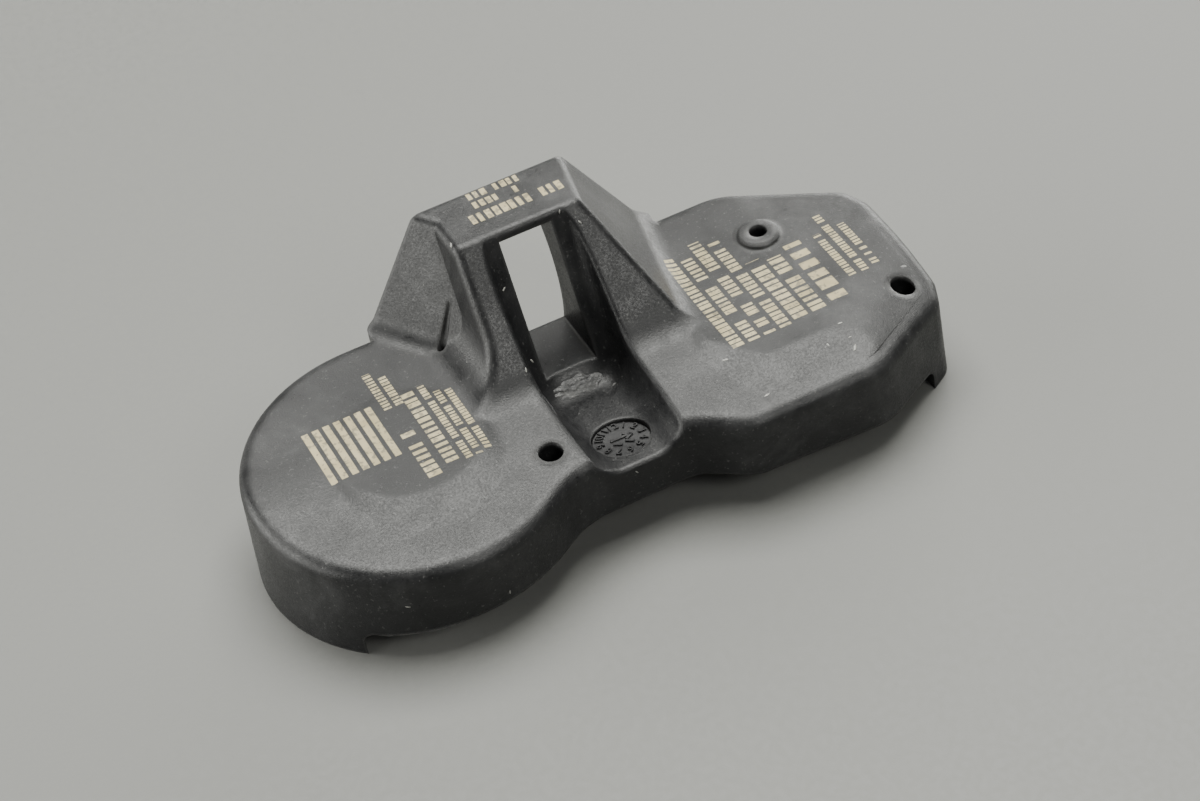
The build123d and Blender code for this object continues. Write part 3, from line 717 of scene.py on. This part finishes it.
dress("sensor_chip", make_compound(
    "chip_compound", dark=(0.012, 0.012, 0.013, 1), light=(0.02, 0.02, 0.021, 1),
    smooth=0.45, rough=0.6, grain_scale=7000.0))
dress("filter_resistors", make_chip_body(
    "resistor_chips", "filter_resistors", body_dark=(0.012, 0.012, 0.013, 1),
    body_light=(0.02, 0.02, 0.022, 1), end_share=0.3))
dress("tuning_capacitors", make_chip_body(
    "capacitor_chips", "tuning_capacitors", body_dark=(0.30, 0.19, 0.10, 1),
    body_light=(0.38, 0.26, 0.15, 1), end_share=0.32))
sintered_ferrite = make_compound(
    "sintered_ferrite", dark=(0.035, 0.034, 0.034, 1), light=(0.06, 0.058, 0.057, 1),
    smooth=0.55, rough=0.75, grain_scale=9000.0)
for name in ("coil_core", "tuning_inductor"):
    dress(name, sintered_ferrite)
dress("coil_winding", make_wound_copper())
dress("antenna_loop", make_bright_metal(
    "copper_strip", clean=(0.72, 0.33, 0.17, 1), stained=(0.48, 0.19, 0.09, 1),
    smooth=0.24, rough=0.4, line_scale=2200.0))


# Seal ring: a moulded ring of soft black rubber, squeezed between the sensor package and the
# port. It keeps the casting resin out of the air's path.
dress("port_seal_ring", make_compound(
    "seal_rubber", dark=(0.010, 0.010, 0.010, 1), light=(0.016, 0.016, 0.016, 1),
    smooth=0.6, rough=0.78, grain_scale=4200.0))


# Potting: black casting resin poured in from below over the cell and the board. It levels
# itself and sets with a satin skin, slow ripples and a few pinholes.
def make_casting_resin():
    """Resin with a rippled satin skin and pinholes."""
    material, tree, shader, where = new_material("casting_resin")
    grain = place_group(tree, moulded_grain, where, Grain_Scale=2600.0)
    ripple = noise_at(tree, where, 130.0, roughness=0.5, distortion=0.6)
    colour = mix_colour(tree, grain["Tone"], (0.010, 0.010, 0.011, 1), (0.019, 0.019, 0.02, 1))
    tree.links.new(colour, shader.inputs["Base Color"])
    tree.links.new(remap(tree, ripple, 0.3, 0.7, 0.2, 0.36), shader.inputs["Roughness"])
    pins = add_node(tree, "ShaderNodeTexVoronoi", Scale=230.0)
    tree.links.new(where, pins.inputs["Vector"])
    pinholes = remap(tree, pins.outputs["Distance"], 0.03, 0.08, -0.5, 0.0)
    add_bump(tree, shader, math_node(tree, "ADD", ripple, pinholes), 0.5, 0.25 * mm)
    return material


dress("potting", make_casting_resin())


# Studio: a plain pale table under a broad soft light, with a low panel on each side and a
# small weak panel behind the camera, which stands where the photograph was taken, turned a
# little on its own axis.
table_half, light_colour, fill_strength = 1.2, (1.0, 1.0, 0.955), 0.03


def make_floor():
    """The table's top, a fine pale grey."""
    mesh = bpy.data.meshes.new("table_top")
    corners = [(x * table_half, y * table_half, 0) for x, y in ((-1, -1), (1, -1), (1, 1), (-1, 1))]
    mesh.from_pydata(corners, [], [(0, 1, 2, 3)])
    floor = bpy.data.objects.new("table_top", mesh)
    material, tree, shader, where = new_material("pale_table")
    fleck = remap(tree, noise_at(tree, where, 1500.0, roughness=0.7), 0.3, 0.7)
    colour = mix_colour(tree, fleck, (0.143, 0.145, 0.138, 1), (0.159, 0.161, 0.153, 1))
    tree.links.new(colour, shader.inputs["Base Color"])
    tree.links.new(remap(tree, fleck, 0.0, 1.0, 0.52, 0.66), shader.inputs["Roughness"])
    mesh.materials.append(material)
    bpy.context.scene.collection.objects.link(floor)


make_floor()


def add_soft_light(name, place, size, power):
    """A rectangle of light that faces the object."""
    light = bpy.data.lights.new(name, "AREA")
    light.shape = "RECTANGLE"
    light.size, light.size_y = size
    light.energy = power
    light.color = light_colour
    lamp = bpy.data.objects.new(name, light)
    lamp.location = place
    lamp.rotation_euler = (-Vector(place)).to_track_quat("-Z", "Y").to_euler()
    bpy.context.scene.collection.objects.link(lamp)


add_soft_light("overhead_softbox", place=(0.12, 0.27, 0.77), size=(0.8, 0.62), power=18.4)
add_soft_light("left_panel", place=(-0.90, 0.28, 0.24), size=(1.2, 0.45), power=14.0)
add_soft_light("front_panel", place=(0.21, -0.65, 0.59), size=(0.3, 0.3), power=3.0)
add_soft_light("right_panel", place=(0.8, 0.7, 0.2), size=(0.9, 0.4), power=11.5)

world = bpy.data.worlds.new("studio_fill")
world.use_nodes = True
fill = world.node_tree.nodes["Background"].inputs
fill["Color"].default_value = (1, 1, 1, 1)
fill["Strength"].default_value = fill_strength
bpy.context.scene.world = world

camera_place = Vector((-60.77, -176.33, 173.47)) * mm
camera_elevation, camera_heading, camera_roll = radians(42.0), radians(19.3), radians(10.3)
lens = bpy.data.cameras.new("photo_camera")
lens.sensor_fit, lens.sensor_width, lens.lens = "HORIZONTAL", 36.0, 90.0
camera = bpy.data.objects.new("photo_camera", lens)
aim = Euler((radians(90) - camera_elevation, 0, -camera_heading)).to_matrix()
turn = aim @ Matrix.Rotation(-camera_roll, 3, "Z")
camera.matrix_world = Matrix.Translation(camera_place) @ turn.to_4x4()
bpy.context.scene.collection.objects.link(camera)
bpy.context.scene.camera = camera
